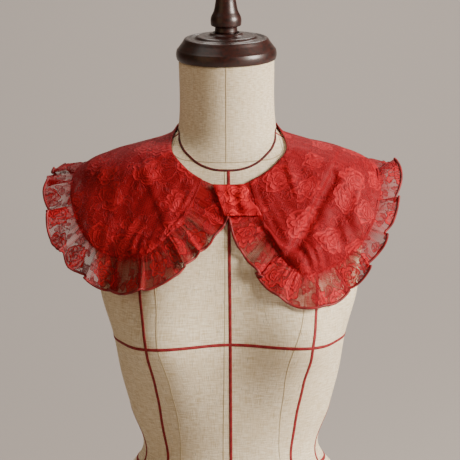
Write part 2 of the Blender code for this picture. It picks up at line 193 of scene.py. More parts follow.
def linear(hex_colour):
    """An sRGB hex colour as the linear values that a shader takes."""
    shares = [int(hex_colour[place : place + 2], 16) / 255 for place in (1, 3, 5)]
    return (*(s / 12.92 if s <= 0.04045 else ((s + 0.055) / 1.055) ** 2.4 for s in shares), 1.0)


def fill(node, inputs):
    """Sets or links a node's inputs, each given by its place or name."""
    for key, value in inputs.items():
        if isinstance(value, bpy.types.Node):
            value = next(socket for socket in value.outputs if socket.enabled)
        if isinstance(value, bpy.types.NodeSocket):
            node.id_data.links.new(value, node.inputs[key])
        else:
            node.inputs[key].default_value = value


def add_node(tree, kind, *values, inputs=None, **settings):
    """Adds a node with its settings, its kind followed by its operation where it has one, and
    sets or links its inputs, in order or by name."""
    kind, _, operation = kind.partition(" ")
    if operation:
        settings["operation"] = operation
    made = tree.nodes.new("ShaderNode" + kind)
    for name, value in settings.items():
        setattr(made, name, value)
    fill(made, {**dict(enumerate(values)), **(inputs or {})})
    return made


def new_material(name, roughness):
    """An empty named material, what adds a node to it, and its shader."""
    material = bpy.data.materials.new(name)
    material.use_nodes = True
    shader = material.node_tree.nodes["Principled BSDF"]
    shader.inputs["Roughness"].default_value = roughness
    return material, partial(add_node, material.node_tree), shader


# Natural linen, plain weave, undyed: a matt cloth whose uneven slubby threads give a fine grey
# and straw crosshatch. The threads are 0.6 mm apart, drawn twice as coarse so that they show.
LINEN_THREAD = 1.15
LINEN_SLUB = 17.0
linen, add, shader = new_material("natural linen, plain weave", 0.92)
cut = add("UVMap", uv_map="cut")
across_threads, along_threads = 1000 / LINEN_THREAD, 1000 / LINEN_SLUB
threads = []
for scale in ((across_threads, along_threads, 1), (along_threads, across_threads, 1)):
    place = add("VectorMath MULTIPLY", cut, scale)
    noise = {"Vector": place, "Scale": 1.0, "Detail": 2.0, "Roughness": 0.6}
    threads.append(add("TexNoise", inputs=noise, noise_dimensions="2D"))
weave = add("Math ADD", *threads)
colour = linear("#C6B48E")
noise = {"Vector": cut, "Scale": 14.0, "Detail": 3.0}
patches = add("TexNoise", inputs=noise, noise_dimensions="2D")
# pale threads, straw patches, then dark flecks: what shows each, over which range, and how much
for source, low, high, share, shade in (
    (weave, 0.72, 1.24, 1.0, "#F1E8D2"),
    (patches, 0.3, 0.7, 0.3, "#D6C5A0"),
    (threads[0], 0.66, 0.74, 1.0, "#A0947A"),
):
    shown = add("MapRange", source, low, high, 0.0, share)
    colour = add("Mix", shown, inputs={6: colour, 7: linear(shade)}, data_type="RGBA")
bump = add("Bump", inputs={"Height": weave, "Strength": 0.4, "Distance": 0.0004})
fill(shader, {"Base Color": colour, "Normal": bump, "Specular IOR Level": 0.2})

azimuths = np.linspace(-180, 180, TORSO_SIDES + 1)[:, None]
heights = np.linspace(0, NECK_TOP, TORSO_RINGS)[None, :]
tips = np.clip((heights - NECK_FOOT) / (NECK_TOP - NECK_FOOT), 0, 1)
levels = heights + 0 * azimuths
for _ in range(LEVELLING_ROUNDS):
    ahead = form_radius(np.radians(azimuths), levels) * np.cos(np.radians(azimuths))
    ahead -= (heights - NECK_FOOT) * NECK_SLOPE
    levels = heights - tips * ahead * NECK_SLOPE
cover = on_form(azimuths, levels)
around = arc_lengths(cover[:, TORSO_RINGS // 2])
up = arc_lengths(cover[TORSO_SIDES // 2])
cover_cut = np.stack(np.meshgrid(around, up, indexing="ij"), axis=-1)
faces = grid_faces(TORSO_SIDES + 1, TORSO_RINGS)
faces.append([column * TORSO_RINGS for column in range(TORSO_SIDES + 1)][::-1])
faces.append([column * TORSO_RINGS + TORSO_RINGS - 1 for column in range(TORSO_SIDES + 1)])
torso_cover = add_piece("torso_cover", cover, faces, linen, cover_cut)
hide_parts("form_torso")

# Seams of the cover
# Plain seams where the linen panels meet: down the centre front and back, down each princess
# line, and round the foot and down the front of the neck. Each is a thin pressed ridge.
SEAM_RADIUS = 0.55
SEAM_FLATTEN = 0.5
SEAM_SIDES = 6
SEAM_POINTS = 160
PATH_CELLS = 400
# azimuths and heights along each seam; the neck's is given for one side
SEAM_PATHS = {
    "seam_front": ((-3, 1), (-6, 190), (-3.5, 310), (-2.6, 405), (-3, 490), (-3.2, 529)),
    "seam_back": ((180, 1), (180, 190), (180, 400), (180, 560)),
    "seam_neck_front": ((-1.7, 538), (-1.2, 588), (-0.5, 652)),
    "seam_princess_right": (
        (38, 1), (38, 187), (34, 254), (31, 321), (38, 371), (47, 430), (56, 500), (76, 556),
    ),
    "seam_princess_left": (
        (-37, 1), (-39, 187), (-36, 254), (-34, 321), (-37, 371), (-46, 430), (-56, 500),
        (-76, 556),
    ),
}
NECK_SEAM = ((0, 538), (30, 539), (45, 541), (70, 563), (90, 572), (120, 581), (180, 586))


def form_gap(points):
    """How far points lie outside the form's skin, measured level."""
    azimuth = np.arctan2(points[..., 0], -points[..., 1])
    return np.hypot(points[..., 0], points[..., 1]) - form_radius(azimuth, points[..., 2])


def unit(vectors):
    """Vectors of the same directions and length 1."""
    return vectors / np.linalg.norm(vectors, axis=-1, keepdims=True)


def form_normal(points):
    """The skin's outward direction near points, and how fast the gap grows on it."""
    probe = 0.5
    here = form_gap(points)
    slope = [(form_gap(points + probe * axis) - here) / probe for axis in np.eye(3)]
    slope = np.stack(slope, axis=-1)
    steepness = np.linalg.norm(slope, axis=-1)
    return slope / steepness[..., None], steepness


def resample(path, count):
    """A smooth run of points at even spacing along a path through a few points."""
    path = np.asarray(path, float)
    keys = arc_lengths(path)
    columns = ["along", *range(path.shape[1])]
    table = filled(np.column_stack((keys, path)), columns, keys[-1] / PATH_CELLS)
    places = np.linspace(0, keys[-1], count)
    return np.stack([read(table, axis, places) for axis in range(path.shape[1])], axis=-1)


def both_sides(rows):
    """A path round the form from the centre back, from its half on the right."""
    return [(-azimuth, height) for azimuth, height in rows[:0:-1]] + list(rows)


def form_path(rows, count):
    """Points on the skin along a path given by azimuths and heights."""
    places = resample(rows, count)
    return on_form(places[:, 0], places[:, 1])


def tube(points, sideways, outward, radius, sides):
    """Rings of points round a path, across two directions at each of its points."""
    angles = np.linspace(0, 2 * math.pi, sides, endpoint=False)
    ring = np.cos(angles)[:, None, None] * sideways + np.sin(angles)[:, None, None] * outward
    return points[None] + radius * ring


def tube_faces(length, sides):
    """Faces of a tube of rings, with its ends closed."""
    faces = grid_faces(sides, length, around=True)
    faces.append([side * length for side in range(sides)])
    faces.append([side * length + length - 1 for side in range(sides)][::-1])
    return faces


def across(points, normals):
    """The direction that lies on the skin across a path."""
    return unit(np.cross(normals, np.gradient(points, axis=0)))


# Linen sewing thread and pressed seam: the same cloth, with painted shade that darkens it where it
# is folded in.
shaded_seam_linen, add, shader = new_material("pressed linen seam, painted shade", 0.95)
mottle = add("TexNoise", inputs={"Scale": 420.0, "Detail": 2.0})
colour = add("Mix", mottle, inputs={6: linear("#8F7F60"), 7: linear("#BFAE8B")}, data_type="RGBA")
fill(shader, {"Base Color": colour})

for name, rows in {**SEAM_PATHS, "seam_neck_foot": both_sides(NECK_SEAM)}.items():
    path = form_path(rows, SEAM_POINTS)
    normals, _ = form_normal(path)
    rings = tube(path, across(path, normals), normals * SEAM_FLATTEN, SEAM_RADIUS, SEAM_SIDES)
    add_piece(name, rings, tube_faces(len(path), SEAM_SIDES), shaded_seam_linen)

# Style tapes
# Narrow dark red cotton tape, stuck on flat along the bust, waist and hip lines, the neck, the
# shoulders, the centre lines, the princess lines and the sides, as a guide for draping.
TAPE_WIDTH = 3.6
TAPE_RISE = 0.45
TAPE_POINTS = 260
# azimuths and heights along each tape; the pairs are given for the right side, as is the neck's
TAPE_PATHS = {
    "tape_front": ((0.2, 1), (0.2, 190), (0.4, 287), (0.6, 382), (0.7, 472), (1, 528)),
    "tape_back": ((180, 1), (180, 190), (180, 400), (180, 572)),
    "tape_princess_right": (
        (44, 1), (44.5, 110), (46.5, 185), (47, 210), (45.6, 236), (44, 262), (42, 286),
        (40.6, 307), (39.3, 328), (41.5, 352), (45.2, 376), (50.5, 412), (55, 450), (63, 510),
        (78, 558),
    ),
    "tape_princess_left": (
        (-44, 1), (-45, 110), (-48.6, 185), (-49.6, 209), (-48.2, 234), (-45.1, 263), (-42.8, 285),
        (-40.4, 308), (-39.4, 329), (-41.2, 350), (-44.7, 371), (-48.7, 395), (-55, 450),
        (-63, 510), (-78, 558),
    ),
    "tape_bust": (
        (-180, 329), (-90, 326), (-39, 328), (0, 330.5), (39, 327.7), (90, 326), (180, 329),
    ),
    "tape_waist": ((-180, 175), (-90, 173), (0, 172), (90, 173), (180, 175)),
    "tape_hip": ((-180, 62), (-90, 60), (0, 60), (90, 60), (180, 62)),
}
TAPE_PAIRS = {
    "tape_side": (
        (74, 1), (74, 100), (71, 182), (80, 215), (92, 260), (97, 330), (97, 430), (92, 500),
    ),
    "tape_back": ((146, 1), (148, 190), (142, 330), (140, 450), (126, 530), (100, 566)),
    "tape_shoulder": ((73, 569), (84, 552), (90, 530)),
}
NECK_TAPE_WIDTH = 2.8
NECK_TAPE = (
    (0, 528.8), (15, 530), (31, 536.6), (43, 547.2), (60, 561), (73, 569), (90, 574), (120, 583),
    (180, 588),
)
SIDES = {"left": -1, "right": 1}

# Cotton twill tape, piece dyed: matt dark red under slanting bands of slightly lighter red. At the
# neck a near black red copy of it is painted shade. The twill's rib is 0.5 mm, too fine to show,
# and is drawn as bands 13 mm apart. A wave texture turns 20 radians over each unit of its place,
# or 10 on the slant.
TAPE_BAND = 12.57
WAVE_TURN = 20.0
SLANT_TURN = 10.0


def twill_tape(name, dark_hex, light_hex):
    """Cotton twill tape, dyed between two colours."""
    material, add, shader = new_material(name, 0.78)
    cut = add("UVMap", uv_map="cut")
    scale = 2 * math.pi * 1000 / SLANT_TURN / TAPE_BAND
    waves = {"Vector": cut, "Scale": scale, "Distortion": 0.6}
    bands = add("TexWave", inputs=waves, bands_direction="DIAGONAL")
    dyed = add("Mix", bands, inputs={6: linear(dark_hex), 7: linear(light_hex)}, data_type="RGBA")
    bump = add("Bump", inputs={"Height": bands, "Strength": 0.15, "Distance": 0.0002})
    fill(shader, {"Base Color": dyed, "Normal": bump})
    return material


tape_cotton = twill_tape("cotton twill tape", "#760E16", "#8C1820")
# The neck tape's near black red is painted shade.
shaded_neck_cotton = twill_tape("cotton twill tape, painted shade", "#3E080C", "#5A1014")

# A tape's cross-section: across it, and up from the cloth, as shares of its half width and rise
TAPE_SECTION = np.array(
    [(-1, -0.6), (-1, 0.55), (-0.86, 0.95), (0, 1.05), (0.86, 0.95), (1, 0.55), (1, -0.6)]
)


def add_tape(name, rows, width, cotton):
    """A tape stuck on the cover along a path of azimuths and heights."""
    path = form_path(rows, TAPE_POINTS)
    normals, _ = form_normal(path)
    sideways = across(path, normals) * width / 2
    strip = [path + sideways * place + normals * TAPE_RISE * rise for place, rise in TAPE_SECTION]
    edges = np.meshgrid(TAPE_SECTION[:, 0] * width / 2, arc_lengths(path), indexing="ij")
    faces = grid_faces(len(TAPE_SECTION), len(path), around=True)
    add_piece(name, np.stack(strip), faces, cotton, np.stack(edges, axis=-1))


for name, rows in TAPE_PATHS.items():
    add_tape(name, rows, TAPE_WIDTH, tape_cotton)
for name, rows in TAPE_PAIRS.items():
    for word, side in SIDES.items():
        path = [(side * azimuth, height) for azimuth, height in rows]
        add_tape(f"{name}_{word}", path, TAPE_WIDTH, tape_cotton)
add_tape("tape_neck", both_sides(NECK_TAPE), NECK_TAPE_WIDTH, shaded_neck_cotton)

# Neck cap and finial
# Two turned pieces of very dark mahogany under a clear gloss lacquer: a round plate with a
# rolled rim and stepped rings that closes the neck, and a knob screwed into its middle.
SEAT_GAP = 0.3
WOOD_SIDES = 128
PROFILE_POINTS = 150
# radius and height along each turned outline
CAP_PROFILE = (
    (0, 0), (56.5, 0), (58.3, 0.8), (59, 2.6), (59, 10.8), (58.5, 12.3), (57.2, 13.8), (55.4, 16.2),
    (53.4, 18.9), (51.6, 21.4), (50.4, 23.4), (49.4, 24.9), (47.6, 25.8), (45.2, 26), (43.8, 25.4),
    (42.6, 24.9), (40.6, 25.2), (38.4, 25.3), (36.6, 26.2), (35.2, 27.8), (33.6, 28.5),
    (30, 28.4), (27.4, 28.5), (25, 29), (21.6, 29.2), (19.6, 30.4), (18.4, 31.7), (16, 32), (0, 32),
)
FINIAL_PROFILE = (
    (0, 0), (13, 0), (13.4, 0.8), (13.3, 3), (13.3, 6.4), (13.7, 7.3), (14.8, 7.6), (16.6, 7.7),
    (17.7, 8.2), (18, 9.4), (18.2, 11.4), (18.3, 13.4), (18.2, 15.6), (17.5, 18.6), (16.2, 21.4),
    (14.8, 24.2), (13.6, 28.4), (12.7, 33.4), (12, 38), (11.8, 41.2), (12.3, 44.6), (13.4, 47.6),
    (13.9, 51), (13.6, 54.6), (12.2, 58.6), (9.6, 62), (6.2, 64.4), (3, 65.3), (0, 65.5),
)

# Mahogany, turned, stained dark and lacquered: near black with a red-brown grain in its lit
# parts, under a smooth glossy coat. The grain's streaks are 3.7 mm apart and nine times as long,
# front to back.
WOOD_GRAIN = 3.6667
GRAIN_LENGTH = 9
mahogany, add, shader = new_material("lacquered mahogany", 0.4)
place = add("TexCoord").outputs["Object"]
repeat = 1000 / WOOD_GRAIN
place = add("VectorMath MULTIPLY", place, (repeat, repeat / GRAIN_LENGTH, repeat))
noise = {"Vector": place, "Scale": 1.0, "Detail": 4.0, "Roughness": 0.6}
grain = add("TexNoise", inputs=noise)
shown = add("MapRange", grain, 0.34, 0.68)
colour = add("Mix", shown, inputs={6: linear("#180705"), 7: linear("#38130D")}, data_type="RGBA")
bump = add("Bump", inputs={"Height": grain, "Strength": 0.12, "Distance": 0.0003})
fill(shader, {"Base Color": colour, "Normal": bump})
fill(shader, {"Coat Weight": 0.35, "Coat Roughness": 0.22})


def turned(name, profile, rise, node):
    """A turned piece on the leaning neck, a height above the neck's top."""
    outline = resample(profile[1:-1], PROFILE_POINTS)
    turns = np.linspace(0, 2 * math.pi, WOOD_SIDES, endpoint=False)[:, None]
    radius, height = outline[None, :, 0], outline[None, :, 1] + 0 * turns + rise
    rings = np.stack((radius * np.cos(turns), radius * np.sin(turns), height), axis=-1)
    lean = np.array(Matrix.Rotation(math.radians(NECK_LEAN), 3, "X"))
    foot = np.array([0, -(NECK_TOP - NECK_FOOT) * NECK_SLOPE, NECK_TOP])
    points = rings @ lean.T + foot
    piece = add_piece(name, points, tube_faces(len(outline), WOOD_SIDES), mahogany)
    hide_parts(node)


turned("turned_cap", CAP_PROFILE, SEAT_GAP, "neck_cap")
turned("turned_finial", FINIAL_PROFILE, CAP_PROFILE[-1][1] + 2 * SEAT_GAP, "finial")

# Collar panel
# One smooth two-flap cape collar, cut on the fold at the centre back from two layers of floral
# lace and turned out at its edges. It lies on the shoulders and swells a little inside its seam.
CLOTH_GAP = 1.95
CLEARING_ROUNDS = 4
PANEL_WALL = 2.0
STEP_SHARE = 42
BEND = math.radians(1.5)
DOWN = np.array([0.0, 0.0, -1.0])
# where each line of cloth leaves the neck, the way it heads, the steepest it falls, how long it
# is, and how far it swells inside the outer seam
PANEL_COLUMNS = ("azimuth", "height", "heading", "fall", "length", "puff")
PANEL_SPACING = 0.25
PANEL_FRONT_LEFT = (
    (26, 518, 60, 85, 50, 0.0),
    (29, 520, 62, 85, 79, 0.5),
    (33, 523, 65, 85, 99, 1.0),
    (38, 527, 69, 85, 114, 1.5),
    (44, 534, 74, 80, 124, 2.0),
    (50, 541, 78, 72, 140, 2.0),
    (56, 548, 80, 60, 151, 2.0),
    (62, 554, 81, 47, 151, 2.0),
    (70, 561, 83, 33, 144, 1.5),
    (80, 567, 86, 22, 138, 1.0),
    (90, 571, 91, 17, 131, 1.0),
)
PANEL_FRONT_RIGHT = (
    (22, 515, 44, 85, 58, 0.0),
    (26, 517.5, 47, 85, 106, 2.0),
    (31, 520.5, 52, 85, 129, 4.0),
    (36, 524, 59, 85, 132, 5.0),
    (42, 529, 67, 82, 134, 5.0),
    (48, 536, 74, 75, 141, 4.5),
    (54, 543, 79, 64, 144, 4.0),
    (60, 549, 81, 51, 142, 3.0),
    (68, 557, 83, 36, 135, 2.0),
    (78, 564, 86, 24, 129, 1.0),
    (90, 570, 91, 17, 125, 1.0),
)
PANEL_BACK = (
    (105, 577, 96, 20, 122, 1.5),
    (120, 580, 102, 34, 117, 2.0),
    (140, 583, 121, 57, 112, 2.0),
    (160, 585, 152, 75, 108, 1.5),
    (180, 586, 180, 80, 106, 1.0),
)
PANEL_TURN = 62.0
PANEL_FRONT_COLUMNS = 16
PANEL_BACK_COLUMNS = 14
PANEL_ROWS = 14
PUFF_FROM = 0.72
SMOOTHING = 5
FINER = 5

# Creases of the panel, seen from the front: where each starts and ends, how high it stands and
# how far it spreads to either side, walking from its start. The first three make the pressed
# diagonal crease of the right flap; the others are soft folds.
CREASE_COLUMNS = ("start_x", "start_z", "end_x", "end_z", "rise", "left", "right")
CREASES = (
    (117, 521, 71, 443, 3.6, 3.0, 20.0),
    (124, 519, 78, 441, -2.8, 5.0, 6.0),
    (134, 514, 90, 438, 2.5, 16.0, 7.0),
    (70, 530, 79, 500, 2.4, 7.0, 4.0),
    (-96, 528, -72, 470, 1.8, 9.0, 5.0),
    (-128, 505, -142, 452, 1.6, 8.0, 8.0),
    (48, 505, 66, 452, 0.9, 8.0, 7.0),
    (150, 512, 146, 470, 1.8, 6.0, 9.0),
    (116, 470, 104, 440, 1.6, 5.0, 8.0),
    (100, 450, 132, 430, 0.9, 5.0, 5.0),
    (-60, 500, -78, 452, 0.8, 5.0, 5.0),
    (-112, 486, -112, 440, 0.9, 6.0, 6.0),
    (-44, 512, -52, 480, 0.8, 4.0, 4.0),
    (148, 500, 150, 462, 0.9, 5.0, 5.0),
)
# Slight unevenness of the cloth: two waves, each with its turn for a column, for the panel's
# depth and for the side
RIPPLE = 0.55
RIPPLE_WAVES = ((1.9, 5.0, 0.0), (0.73, -9.0, 1.0))
# Puckers inside the outer seam, which repeat over columns and fade out towards the back
PUCKER = {-1: 0.45, 1: 1.2}
PUCKER_REPEAT = 2.1
PUCKER_WANDER = (1.8, 0.9)
PUCKER_SLANT = 3.0
PUCKER_FROM = 0.7
PUCKER_TO_AZIMUTH = 100.0
PUCKER_FADE = 30.0


def clear_of_form(points, gap, sideways=None):
    """Moves points off the skin until they have the gap, in the upright plane across a level
    direction where one is given, or else straight off."""
    for _ in range(CLEARING_ROUNDS):
        normals, steepness = form_normal(points)
        if sideways is not None:
            normals = normals - sideways * (normals * sideways).sum(-1, keepdims=True)
        short = np.maximum(gap - form_gap(points) / steepness, 0.0)[..., None]
        points = points + normals * short / (normals * normals).sum(-1, keepdims=True)
    return points


def lay_cloth(starts, directions, lengths, falls, steps, sideways=None):
    """Lays lines of cloth on the form. Each runs on, bends over what is under it, and bends down
    of itself only up to its fall in degrees. Across a sideways direction it stays upright."""
    strides = (lengths / steps)[:, None]
    steepest = np.sin(np.radians(falls))
    points = [starts]
    for _ in range(steps):
        bends = np.where(-directions[:, 2] < steepest, BEND, 0.0)[:, None] * strides
        directions = unit(directions + DOWN * bends)
        landing = clear_of_form(points[-1] + directions * strides, CLOTH_GAP, sideways)
        directions = unit(landing - points[-1])
        points.append(points[-1] + directions * strides)
    return np.stack(points, axis=1)


def refine(grid, factor):
    """Fills a grid in along its first axis, on a cubic through its points."""
    slopes = np.gradient(grid, axis=0)
    fine = np.linspace(0, len(grid) - 1, (len(grid) - 1) * factor + 1)
    cell = np.minimum(fine.astype(int), len(grid) - 2)
    t = (fine - cell).reshape(-1, *[1] * (grid.ndim - 1))
    return cubic(t, grid[cell], grid[cell + 1], slopes[cell], slopes[cell + 1])


def grid_normals(grid):
    """Unit normals of a grid of points, which face away from the form."""
    normals = unit(np.cross(np.gradient(grid, axis=0), np.gradient(grid, axis=1)))
    middle = len(grid) // 2, grid.shape[1] // 2
    facing = normals[middle] @ form_normal(grid[middle])[0]
    return normals * (1.0 if facing > 0 else -1.0)


def crease_rise(points):
    """How high the creases lift the panel at points of its front."""
    rise = np.zeros(points.shape[:-1])
    seen = points[..., [0, 2]]
    for row in CREASES:
        crease = dict(zip(CREASE_COLUMNS, row))
        start = np.array([crease["start_x"], crease["start_z"]])
        run = np.array([crease["end_x"], crease["end_z"]]) - start
        share = np.clip((seen - start) @ run / (run @ run), 0, 1)[..., None]
        aside = (seen - start) @ np.array([-run[1], run[0]])
        spread = np.where(aside > 0, crease["left"], crease["right"])
        away = np.linalg.norm(seen - start - share * run, axis=-1) / spread
        rise += crease["rise"] * np.exp(-away * away)
    return np.where(points[..., 1] < 0, rise, 0.0)


def panel_half(side):
    """The panel's under face on one side, a column of points for each section, front to back,
    and its normals before it was creased."""
    rows = (PANEL_FRONT_RIGHT if side > 0 else PANEL_FRONT_LEFT) + PANEL_BACK
    table = filled(rows, PANEL_COLUMNS, PANEL_SPACING)
    front = np.linspace(rows[0][0], PANEL_TURN, PANEL_FRONT_COLUMNS + 1)
    back = np.linspace(PANEL_TURN, rows[-1][0], PANEL_BACK_COLUMNS + 1)
    sections = np.concatenate((front[:-1], back))
    at = {name: read(table, name, sections) for name in PANEL_COLUMNS}
    starts = clear_of_form(on_form(side * sections, at["height"]), CLOTH_GAP)
    turn = np.radians(at["heading"])
    out = np.stack((side * np.sin(turn), -np.cos(turn), 0 * turn), axis=-1)
    normals, _ = form_normal(starts)
    directions = unit(out * normals[:, 2:] + DOWN * (out * normals).sum(-1, keepdims=True))
    sideways = unit(np.cross(directions, DOWN))
    grid = lay_cloth(starts, directions, at["length"], at["fall"], STEP_SHARE, sideways)
    grid = grid[:, :: STEP_SHARE // PANEL_ROWS]
    for _ in range(SMOOTHING):
        grid[1:-1] = (grid[:-2] + 2 * grid[1:-1] + grid[2:]) / 4
        grid = clear_of_form(grid, CLOTH_GAP)
    grid = refine(refine(grid, FINER).swapaxes(0, 1), FINER).swapaxes(0, 1)
    swell = refine(at["puff"], FINER)
    normals = grid_normals(grid)
    reach = np.linspace(0, 1, grid.shape[1])
    rim = np.clip((reach - PUFF_FROM) / (1 - PUFF_FROM), 0, 1)
    rise = swell[:, None] * np.sin(math.pi * rim)[None, :] + crease_rise(grid)
    column = np.arange(len(grid))[:, None] / FINER
    ripple = np.prod(
        [np.sin(column * over + reach * down + side * start) for over, down, start in RIPPLE_WAVES],
        axis=0,
    )
    rise = rise + RIPPLE * (1 + ripple) * np.sin(math.pi * reach) ** 0.5
    edge = np.clip((reach - PUCKER_FROM) / (1 - PUCKER_FROM), 0, 1)
    sway, wander = PUCKER_WANDER
    turn = 2 * math.pi * column / PUCKER_REPEAT + sway * np.sin(column * wander)
    pucker = 1 + np.sin(turn + PUCKER_SLANT * reach)
    azimuth = sections.max() * column / column.max()
    front = np.clip((PUCKER_TO_AZIMUTH - azimuth) / PUCKER_FADE, 0, 1)
    rise = rise + PUCKER[side] * front * pucker * np.sin(math.pi * edge) ** 0.7
    return clear_of_form(grid + normals * rise[..., None], CLOTH_GAP / 2), normals


def flat_cut(grid):
    """Unrolls a grid of points to its flat cut, column by column, keeping its lengths."""
    inner, outer = grid[:, 0], grid[:, -1]

    def apart(a, b):
        return float(np.linalg.norm(a - b))

    def place(a, b, from_a, from_b):
        """The point at two distances from two points, on the right of the line between them."""
        line = b - a
        length = float(np.linalg.norm(line))
        share = (from_a**2 - from_b**2 + length**2) / (2 * length)
        height = math.sqrt(max(from_a**2 - share**2, 0.0))
        line = line / length
        return a + line * share + np.array([line[1], -line[0]]) * height

    flat_inner = [np.zeros(2)]
    flat_outer = [np.array([0.0, -apart(inner[0], outer[0])])]
    for column in range(1, len(grid)):
        a, b = flat_inner[-1], flat_outer[-1]
        across_it = apart(inner[column - 1], outer[column])
        edge = apart(outer[column - 1], outer[column])
        corner = place(b, a, edge, across_it)
        depth = apart(inner[column], outer[column])
        flat_inner.append(place(corner, a, depth, apart(inner[column - 1], inner[column])))
        flat_outer.append(corner)
    share = np.linspace(0, 1, grid.shape[1])[None, :, None]
    return (1 - share) * np.array(flat_inner)[:, None] + share * np.array(flat_outer)[:, None]


# Polyester lace, warp knitted on net and piece dyed red: open hexagonal net with roses, leaves
# and stems worked in close stitches and outlined by a heavier cord. Light passes the net, the
# close stitches are brighter towards each petal's rim and finely hatched, and the cords are
# opaque. The roses repeat at 41 mm, the stems at 12 mm and closer bands of warp threads at
# 15 mm. The net's holes are 1 mm in the real lace and are drawn at 2 mm.
ROSE_REPEAT = 41.0
ROSE_COLUMNS = ("radius", "petals", "scallop", "start")
ROSE_RINGS = ((3.2, 3, 0.3, 0.2), (6.8, 4, 0.26, 1.3), (11.0, 5, 0.24, 0.5), (15.8, 6, 0.22, 2.1))
PETAL_SHADE = 4.5
LEAF_COUNT = 5
LEAF_FROM = 13.5
LEAF_TO = 27.0
CORD = 0.5
HATCH_COUNT = 26
NET_HOLE = 2.0
STEM_REPEAT = 12.0
THREAD_REPEAT = 15.08
# where each ruffle's cut starts from the middle, so that no pattern is used twice
CUT_APART = 1500.0


def rose_lace(name, cord_hex, petal_hex, shade_hex, net_hex, net_cover, petal_cover, gathered_and_shaded=0.0):
    """Floral lace whose alpha follows its net, its close stitches and its cords. Where it is
    gathered, it is denser for that many millimetres from its sewn edge, and at its front end;
    this is partly the gathers' real layers and partly painted shade under the panel and the tab."""
    material, add, shader = new_material(name, 0.55)
    repeat = 1000 / ROSE_REPEAT
    cut = add("UVMap", uv_map="cut")
    place = add("VectorMath MULTIPLY", cut, (repeat, repeat, 1))
    noise = {"Vector": place, "Scale": 2.2, "Detail": 3.0}
    broad = add("TexNoise", inputs=noise, noise_dimensions="2D")
    drift = add("VectorMath SUBTRACT", broad.outputs["Color"], (0.5, 0.5, 0.5))
    bent = add("VectorMath MULTIPLY_ADD", drift, (0.42, 0.42, 0), place)
    cells = {"Vector": bent, "Scale": 1.0, "Randomness": 0.55}
    roses = add("TexVoronoi", inputs=cells, voronoi_dimensions="2D")
    chance = roses.outputs["Color"]
    size = add("MapRange", chance, 0.2, 0.8, 0.74, 1.14)
    away = add("Math DIVIDE", roses.outputs["Distance"], size)
    local = add("VectorMath SUBTRACT", bent, roses.outputs["Position"])
    x, y, _ = add("SeparateXYZ", local).outputs
    spin = add("Math MULTIPLY_ADD", chance, 2 * math.pi, add("Math ARCTAN2", y, x))
    # rings of petals, each a scalloped line round the rose's heart, brighter towards its rim
    cord = CORD / ROSE_REPEAT
    cords = 0.0
    petal_light = 0.0
    for row in ROSE_RINGS:
        ring = dict(zip(ROSE_COLUMNS, row))
        radius = ring["radius"] / ROSE_REPEAT
        scallop = radius * ring["scallop"]
        phase = add("Math MULTIPLY_ADD", spin, ring["petals"] / 2, ring["start"])
        lobe = add("Math ABSOLUTE", add("Math COSINE", phase))
        edge = add("Math MULTIPLY_ADD", lobe, scallop, radius - scallop)
        apart = add("Math SUBTRACT", away, edge)
        line = add("MapRange", add("Math ABSOLUTE", apart), 0.5 * cord, 1.7 * cord, 1.0, 0.0)
        cords = add("Math MAXIMUM", line, cords)
        towards = add("MapRange", apart, -PETAL_SHADE / ROSE_REPEAT, -0.5 / ROSE_REPEAT)
        inside = add("MapRange", apart, -0.01, 0.01, 1.0, 0.0)
        petal_light = add("Math MAXIMUM", add("Math MULTIPLY", towards, inside), petal_light)
    fan = add("Math MULTIPLY_ADD", spin, HATCH_COUNT, add("Math MULTIPLY", away, 31.0))
    hatch = add("MapRange", add("Math SINE", fan), 0.35, 1.0)
    # leaves set round each rose, with an outline, a midrib and veins
    count = LEAF_COUNT / (2 * math.pi)
    leaf_share = add("Math FRACT", add("Math MULTIPLY_ADD", spin, count, 10.3))
    leaf_side = add("Math ABSOLUTE", add("Math SUBTRACT", leaf_share, 0.5))
    leaf_along = add("MapRange", away, LEAF_FROM / ROSE_REPEAT, LEAF_TO / ROSE_REPEAT)
    leaf_wide = add("Math SINE", add("Math MULTIPLY", leaf_along, math.pi))
    leaf_edge = add("Math MULTIPLY_ADD", leaf_wide, 0.3, -0.02)
    leaf_apart = add("Math SUBTRACT", leaf_edge, leaf_side)
    leaf = add("MapRange", leaf_apart, 0.0, 0.03)
    leaf_line = add("MapRange", add("Math ABSOLUTE", leaf_apart), 0.012, 0.042, 1.0, 0.0)
    rib = add("MapRange", leaf_side, 0.01, 0.034, 1.0, 0.0)
    vein_place = add("Math MULTIPLY_ADD", leaf_side, -2.2, leaf_along)
    vein = add("MapRange", add("Math PINGPONG", vein_place, 0.13), 0.015, 0.055, 0.8, 0.0)
    leaf_marks = add("Math MULTIPLY", add("Math MAXIMUM", rib, vein), leaf)
    leaf_cords = add("Math MAXIMUM", leaf_marks, leaf_line)
    outside = add("Math SUBTRACT", 1.0, inside)
    cords = add("Math MAXIMUM", cords, add("Math MULTIPLY", leaf_cords, outside))
    # stems wander over the net between the flowers
    outlines = {"voronoi_dimensions": "2D", "feature": "DISTANCE_TO_EDGE"}
    cells = {"Vector": bent, "Scale": ROSE_REPEAT / STEM_REPEAT, "Randomness": 0.9}
    stems = add("TexVoronoi", inputs=cells, **outlines)
    stem_line = add("MapRange", stems, 0.015, 0.05, 1.0, 0.0)
    noise = {"Vector": place, "Scale": 1.7, "Detail": 1.0}
    sparse = add("TexNoise", inputs=noise, noise_dimensions="2D")
    stem_share = add("MapRange", sparse, 0.46, 0.56)
    stem_shown = add("Math MULTIPLY", add("Math MULTIPLY", stem_line, stem_share), outside)
    cords = add("Math MAXIMUM", cords, stem_shown)
    worked = add("Math MAXIMUM", inside, leaf)
    # close stitches vary in how tightly they are packed
    noise = {"Vector": place, "Scale": 8.0, "Detail": 3.0, "Roughness": 0.65}
    stitches = add("TexNoise", inputs=noise, noise_dimensions="2D")
    packed = add("MapRange", stitches, 0.35, 0.65, petal_cover - 0.16, petal_cover + 0.1)
